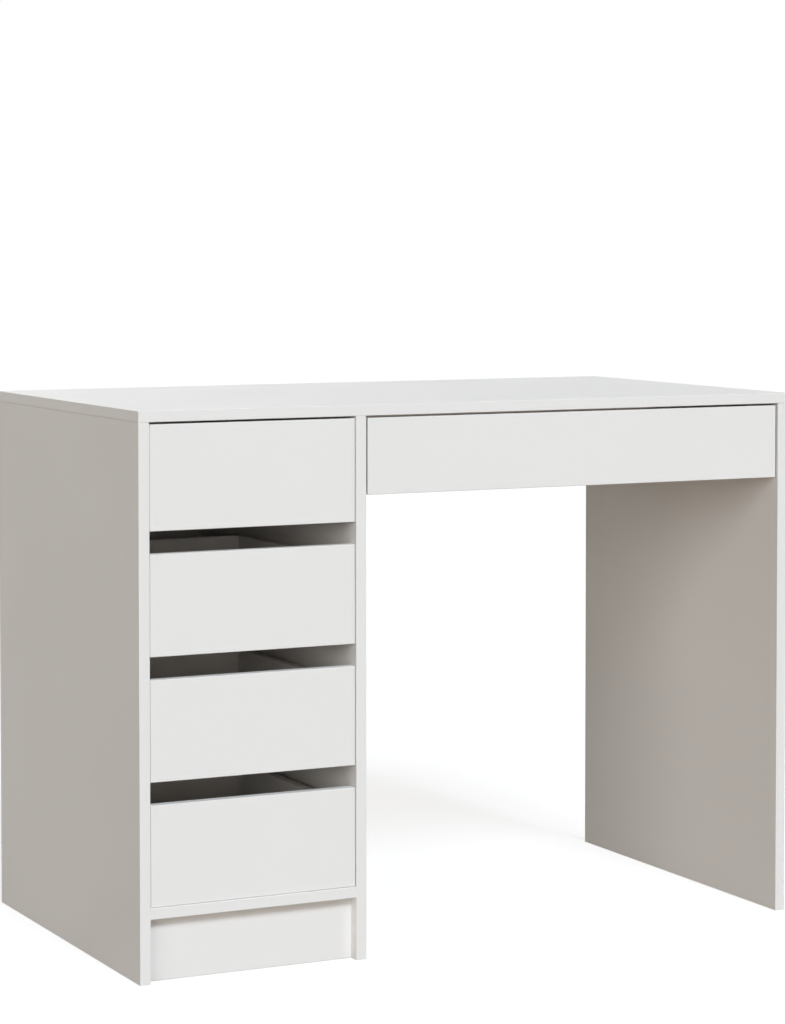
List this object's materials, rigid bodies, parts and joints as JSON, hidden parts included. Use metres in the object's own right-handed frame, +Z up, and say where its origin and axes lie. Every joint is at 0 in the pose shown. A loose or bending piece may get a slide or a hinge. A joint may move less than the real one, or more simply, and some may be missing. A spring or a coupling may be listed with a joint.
{
  "type": "dressing table",
  "caption": "White dressing table with a pedestal of stacked drawers, finger gaps between their fronts, and a wide shallow drawer over an open knee space.",
  "frame": {"origin": "on the floor under the middle of the table", "axes": "+X to the right seen from the front, +Y to the wall, +Z up"},
  "size_m": [1, 0.55, 0.75],
  "materials": {
    "white_board": "white melamine, satin",
    "drawer_board": "white melamine, satin",
    "hardboard": "white lacquer on one face, bare fibre on the other",
    "zinc_steel": "zinc plated",
    "cap_plastic": "moulded, matte",
    "dowel_wood": "bare beech"
  },
  "bodies": {
    "carcass": {"top_panel": "white_board", "left_side_panel": "white_board", "partition_panel": "white_board", "right_side_panel": "white_board", "pedestal_bottom_panel": "white_board", "plinth_board": "white_board", "knee_rear_rail": "white_board", "pedestal_back_panel": "hardboard", "cam_locks": "zinc_steel", "cam_bolts": "zinc_steel", "cam_caps": "cap_plastic", "dowels": "dowel_wood", "back_panel_nails": "zinc_steel", "slide_screws": "zinc_steel", "drawer_1_cabinet_rails": "zinc_steel", "drawer_2_cabinet_rails": "zinc_steel", "drawer_3_cabinet_rails": "zinc_steel", "drawer_4_cabinet_rails": "zinc_steel", "wide_drawer_cabinet_rails": "zinc_steel"},
    "drawer_1": {"drawer_1_front": "white_board", "drawer_1_left_side": "drawer_board", "drawer_1_right_side": "drawer_board", "drawer_1_back": "drawer_board", "drawer_1_bottom": "hardboard", "drawer_1_drawer_rails": "zinc_steel", "drawer_1_fixings": "zinc_steel"},
    "drawer_1_runners": {"drawer_1_middle_rails": "zinc_steel"},
    "drawer_2": {"drawer_2_front": "white_board", "drawer_2_left_side": "drawer_board", "drawer_2_right_side": "drawer_board", "drawer_2_back": "drawer_board", "drawer_2_bottom": "hardboard", "drawer_2_drawer_rails": "zinc_steel", "drawer_2_fixings": "zinc_steel"},
    "drawer_2_runners": {"drawer_2_middle_rails": "zinc_steel"},
    "drawer_3": {"drawer_3_front": "white_board", "drawer_3_left_side": "drawer_board", "drawer_3_right_side": "drawer_board", "drawer_3_back": "drawer_board", "drawer_3_bottom": "hardboard", "drawer_3_drawer_rails": "zinc_steel", "drawer_3_fixings": "zinc_steel"},
    "drawer_3_runners": {"drawer_3_middle_rails": "zinc_steel"},
    "drawer_4": {"drawer_4_front": "white_board", "drawer_4_left_side": "drawer_board", "drawer_4_right_side": "drawer_board", "drawer_4_back": "drawer_board", "drawer_4_bottom": "hardboard", "drawer_4_drawer_rails": "zinc_steel", "drawer_4_fixings": "zinc_steel"},
    "drawer_4_runners": {"drawer_4_middle_rails": "zinc_steel"},
    "wide_drawer": {"wide_drawer_front": "white_board", "wide_drawer_left_side": "drawer_board", "wide_drawer_right_side": "drawer_board", "wide_drawer_back": "drawer_board", "wide_drawer_bottom": "hardboard", "wide_drawer_drawer_rails": "zinc_steel", "wide_drawer_fixings": "zinc_steel"},
    "wide_drawer_runners": {"wide_drawer_middle_rails": "zinc_steel"}
  },
  "joints": [
    {"name": "drawer_1_slide", "type": "slide", "parent": "carcass", "child": "drawer_1", "axis": [0, -1, 0], "range_m": [0, 0.3]},
    {"name": "drawer_1_runner_slide", "type": "slide", "parent": "carcass", "child": "drawer_1_runners", "axis": [0, -1, 0], "range_m": [0, 0.15]},
    {"name": "drawer_2_slide", "type": "slide", "parent": "carcass", "child": "drawer_2", "axis": [0, -1, 0], "range_m": [0, 0.3]},
    {"name": "drawer_2_runner_slide", "type": "slide", "parent": "carcass", "child": "drawer_2_runners", "axis": [0, -1, 0], "range_m": [0, 0.15]},
    {"name": "drawer_3_slide", "type": "slide", "parent": "carcass", "child": "drawer_3", "axis": [0, -1, 0], "range_m": [0, 0.3]},
    {"name": "drawer_3_runner_slide", "type": "slide", "parent": "carcass", "child": "drawer_3_runners", "axis": [0, -1, 0], "range_m": [0, 0.15]},
    {"name": "drawer_4_slide", "type": "slide", "parent": "carcass", "child": "drawer_4", "axis": [0, -1, 0], "range_m": [0, 0.3]},
    {"name": "drawer_4_runner_slide", "type": "slide", "parent": "carcass", "child": "drawer_4_runners", "axis": [0, -1, 0], "range_m": [0, 0.15]},
    {"name": "wide_drawer_slide", "type": "slide", "parent": "carcass", "child": "wide_drawer", "axis": [0, -1, 0], "range_m": [0, 0.3]},
    {"name": "wide_drawer_runner_slide", "type": "slide", "parent": "carcass", "child": "wide_drawer_runners", "axis": [0, -1, 0], "range_m": [0, 0.15]}
  ],
  "couplings": [
    {"joint": "drawer_1_runner_slide", "follows": "drawer_1_slide", "ratio": 0.5},
    {"joint": "drawer_2_runner_slide", "follows": "drawer_2_slide", "ratio": 0.5},
    {"joint": "drawer_3_runner_slide", "follows": "drawer_3_slide", "ratio": 0.5},
    {"joint": "drawer_4_runner_slide", "follows": "drawer_4_slide", "ratio": 0.5},
    {"joint": "wide_drawer_runner_slide", "follows": "wide_drawer_slide", "ratio": 0.5}
  ]
}
